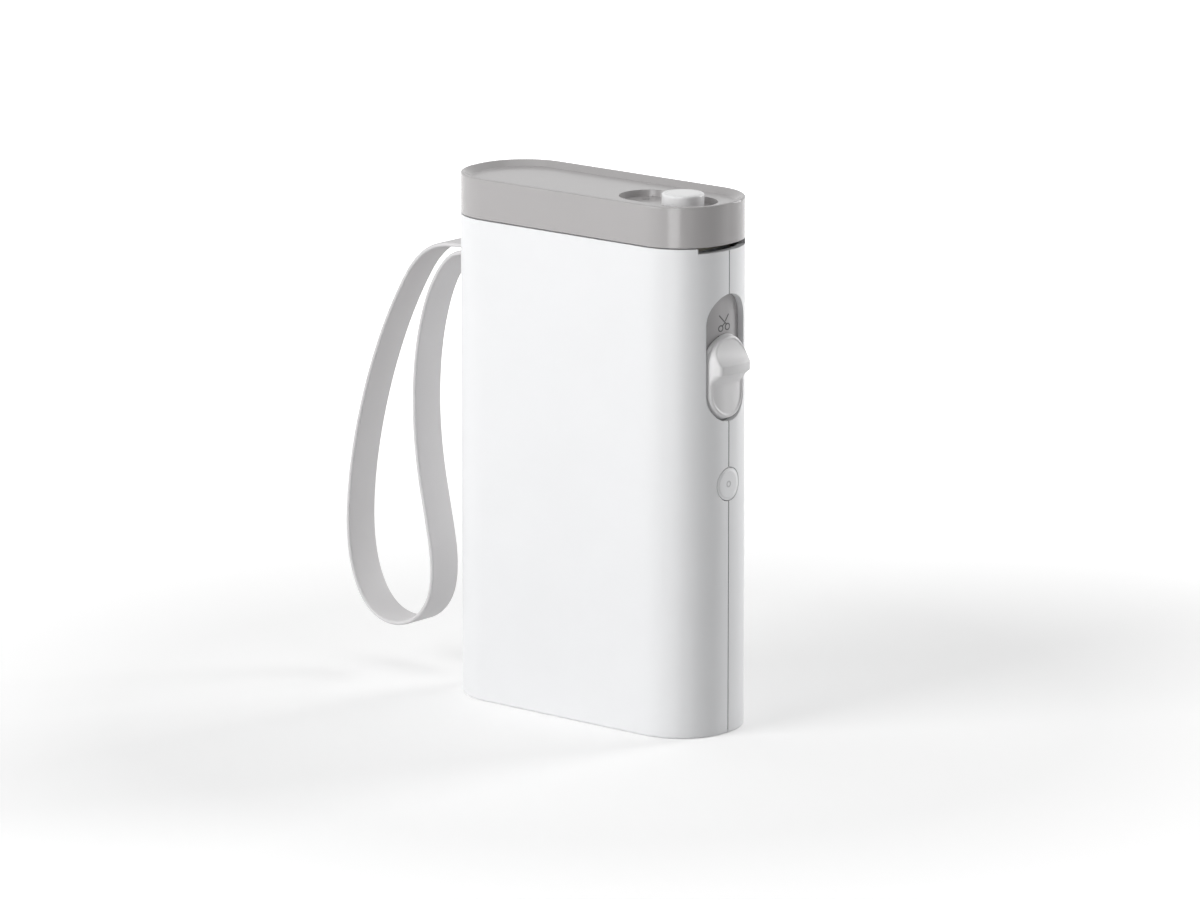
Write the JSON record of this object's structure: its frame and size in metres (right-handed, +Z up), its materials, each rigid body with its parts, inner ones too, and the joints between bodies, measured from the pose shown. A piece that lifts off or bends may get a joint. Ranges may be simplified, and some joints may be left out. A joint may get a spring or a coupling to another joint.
{
  "type": "portable label printer",
  "caption": "Pocket label printer standing on its narrow end, with a hinged cap, latch knob, sliding cutter lever, power button and wrist strap.",
  "frame": {"origin": "middle of the flat base that the printer stands on", "axes": "+Z up through the cap, +X to the end with the label exit and cutter, -Y to the front face"},
  "size_m": [0.1216, 0.03, 0.1307],
  "materials": {
    "white_shell": "fine satin moulded plastic, cool white",
    "grey_cap": "fine satin moulded plastic, warm light grey",
    "track_grey": "smooth grey plastic",
    "strap_grey": "soft matt moulded strap, light grey",
    "frame_dark": "moulded dark engineering plastic",
    "gear_white": "natural acetal",
    "steel": "bright turned and blanked steel",
    "motor_steel": "drawn motor can",
    "aluminium": "milled heat sink",
    "ceramic": "glazed ceramic",
    "rubber_black": "ground black rubber",
    "brass": "sintered bush",
    "board_green": "green solder mask",
    "battery_silver": "foil pouch",
    "paper": "thermal label paper",
    "cardboard": "wound core",
    "ribbon": "polyimide ribbon"
  },
  "bodies": {
    "base": {"front_shell": "white_shell", "rear_shell": "white_shell", "shell_screws": "steel", "chassis": "frame_dark", "chassis_screws": "steel", "roll_holders": "frame_dark", "label_strip": "paper", "label_sensor": "frame_dark", "head_pin": "steel", "head_springs": "steel", "motor": "motor_steel", "motor_screws": "steel", "gear_pins": "steel", "latch_clips": "steel", "cutter_track": "track_grey", "cutter_spring": "steel", "power_switch": "steel", "usb_socket": "steel", "main_board": "board_green", "board_screws": "steel", "battery": "battery_silver", "head_ribbon": "ribbon", "wrist_strap": "strap_grey", "strap_bar": "steel"},
    "head": {"heat_sink": "aluminium", "print_head": "ceramic"},
    "motor_gear": {"motor_pinion": "brass", "motor_shaft": "steel"},
    "reduction": {"reduction_gear": "gear_white"},
    "idler": {"idler_gear": "gear_white"},
    "roll": {"label_roll": "paper", "roll_core": "cardboard"},
    "lid": {"lid_shell": "grey_cap", "hinge_pin": "steel", "lid_frame": "frame_dark", "lid_screws": "steel", "platen_bushes": "brass", "latch_spring": "steel"},
    "platen": {"platen_roller": "rubber_black", "platen_shaft": "steel", "platen_gear": "gear_white"},
    "latch": {"latch_slider": "frame_dark", "latch_knob": "white_shell"},
    "cutter": {"cutter_lever": "white_shell", "cutter_carriage": "frame_dark", "cutter_blade": "steel"},
    "button": {"power_button": "white_shell", "switch_plunger": "frame_dark"}
  },
  "joints": [
    {"name": "lid_hinge", "type": "hinge", "parent": "base", "child": "lid", "pos_m": [-0.03667, 0, 0.1184], "axis": [0, -1, 0], "range_deg": [0, 95], "deforming": ["latch_clips"]},
    {"name": "latch_slide", "type": "slide", "parent": "lid", "child": "latch", "axis": [-1, 0, 0], "range_m": [0, 0.0035], "stiffness_N_per_m": 200, "springref_m": -0.003, "deforming": ["latch_spring"]},
    {"name": "platen_spin", "type": "hinge", "parent": "lid", "child": "platen", "pos_m": [0.0304, 0, 0.12245], "axis": [0, 1, 0], "continuous": true},
    {"name": "idler_spin", "type": "hinge", "parent": "base", "child": "idler", "pos_m": [0.0289, 0, 0.11556], "axis": [0, 1, 0], "continuous": true},
    {"name": "reduction_spin", "type": "hinge", "parent": "base", "child": "reduction", "pos_m": [0.0262, 0, 0.10927], "axis": [0, 1, 0], "continuous": true},
    {"name": "motor_spin", "type": "hinge", "parent": "base", "child": "motor_gear", "pos_m": [0.0247, 0, 0.10217], "axis": [0, 1, 0], "continuous": true},
    {"name": "roll_spin", "type": "hinge", "parent": "base", "child": "roll", "pos_m": [-0.007, 0, 0.094], "axis": [0, 1, 0], "continuous": true},
    {"name": "head_tilt", "type": "hinge", "parent": "base", "child": "head", "pos_m": [0.0222, 0, 0.1167], "axis": [0, 1, 0], "range_deg": [0, 2], "stiffness_Nm_per_rad": 0.02, "springref_deg": -6, "deforming": ["head_springs"]},
    {"name": "cutter_slide", "type": "slide", "parent": "base", "child": "cutter", "axis": [0, 0, 1], "range_m": [0, 0.0085], "stiffness_N_per_m": 100, "springref_m": -0.003, "deforming": ["cutter_spring"]},
    {"name": "power_press", "type": "slide", "parent": "base", "child": "button", "axis": [-1, 0, 0], "range_m": [0, 0.0005], "stiffness_N_per_m": 800, "springref_m": -0.0005}
  ],
  "couplings": [
    {"joint": "idler_spin", "follows": "platen_spin", "ratio": -0.75},
    {"joint": "reduction_spin", "follows": "platen_spin", "ratio": 1.0714},
    {"joint": "motor_spin", "follows": "platen_spin", "ratio": -2.7857}
  ]
}
